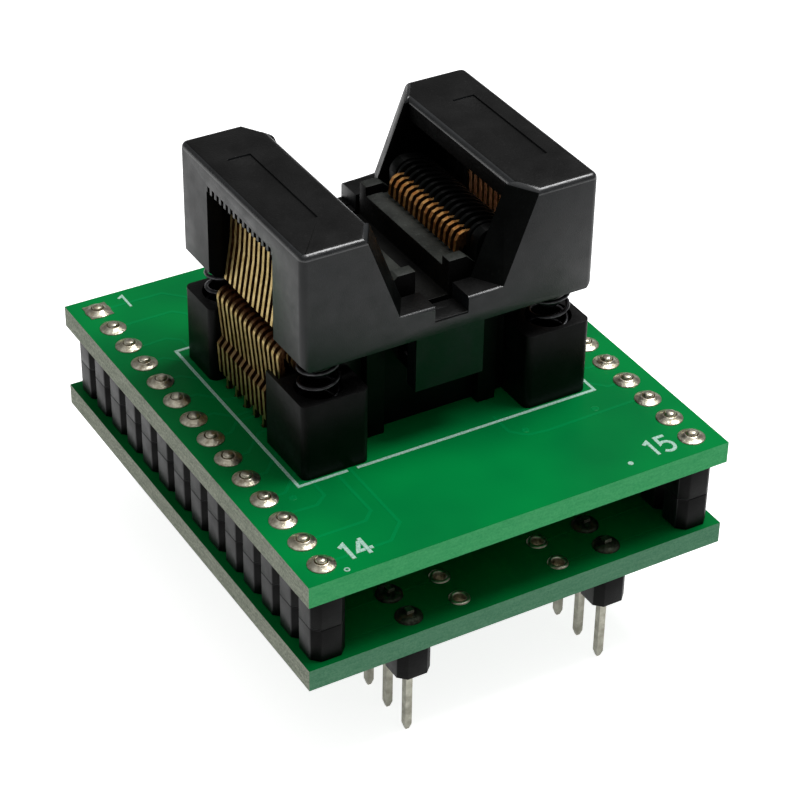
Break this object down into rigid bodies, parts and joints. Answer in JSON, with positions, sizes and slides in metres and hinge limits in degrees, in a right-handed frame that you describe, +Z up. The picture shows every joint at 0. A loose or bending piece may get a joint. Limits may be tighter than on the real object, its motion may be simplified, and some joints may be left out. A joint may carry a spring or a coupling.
{
  "type": "zif test socket adapter",
  "caption": "Open-top test socket for a thin fine-pitch chip: pressing its sprung cover lifts two banks of contacts; two stacked boards lead them to a wide pin header.",
  "frame": {"origin": "middle of the two boards, on the plane of the plug-in pins' tips", "axes": "+Z up through the boards to the cover, +Y along the pin rows, away from the silkscreened last pin and towards pin 1, +X across the rows"},
  "size_m": [0.0316, 0.0364, 0.0331],
  "materials": {
    "board": "green solder mask over glass-fibre board",
    "header": "matt black moulded strip",
    "pin": "tin-plated",
    "solder": "smooth solder",
    "socket": "satin black moulding",
    "seat": "rough dark grey moulding",
    "contact": "gold-plated stamped strip",
    "spring": "dark drawn wire"
  },
  "bodies": {
    "adapter": {"upper_board": "board", "lower_board": "board", "spacer_strip_upper_left": "header", "spacer_strip_upper_right": "header", "spacer_strip_lower_left": "header", "spacer_strip_lower_right": "header", "spacer_pins_left": "pin", "spacer_pins_right": "pin", "top_solder_left": "solder", "top_solder_right": "solder", "under_solder_left": "solder", "under_solder_right": "solder", "plug_strip_left": "header", "plug_strip_right": "header", "plug_pins_left": "pin", "plug_pins_right": "pin", "plug_solder_left": "solder", "plug_solder_right": "solder", "socket_base": "socket", "chip_seat": "seat", "contact_roots_left": "contact", "contact_roots_right": "contact", "tail_solder_left": "solder", "tail_solder_right": "solder", "spring_front_left": "spring", "spring_front_right": "spring", "spring_back_left": "spring", "spring_back_right": "spring"},
    "cover": {"cover": "socket"},
    "left_arms": {"contact_arms_left": "contact"},
    "right_arms": {"contact_arms_right": "contact"}
  },
  "joints": [
    {"name": "cover_press", "type": "slide", "parent": "adapter", "child": "cover", "axis": [0, 0, -1], "range_m": [0, 0.0023], "stiffness_N_per_m": 1500, "springref_m": -0.0015, "deforming": ["spring_front_left", "spring_front_right", "spring_back_left", "spring_back_right"]},
    {"name": "left_arms_swing", "type": "hinge", "parent": "adapter", "child": "left_arms", "pos_m": [-0.00866, 0, 0.02242], "axis": [0, -1, 0], "range_deg": [0, 7.6]},
    {"name": "right_arms_swing", "type": "hinge", "parent": "adapter", "child": "right_arms", "pos_m": [0.00866, 0, 0.02242], "axis": [0, 1, 0], "range_deg": [0, 7.6]}
  ],
  "couplings": [
    {"joint": "left_arms_swing", "follows": "cover_press", "rad_per_m": 56.913},
    {"joint": "right_arms_swing", "follows": "cover_press", "rad_per_m": 56.913}
  ]
}
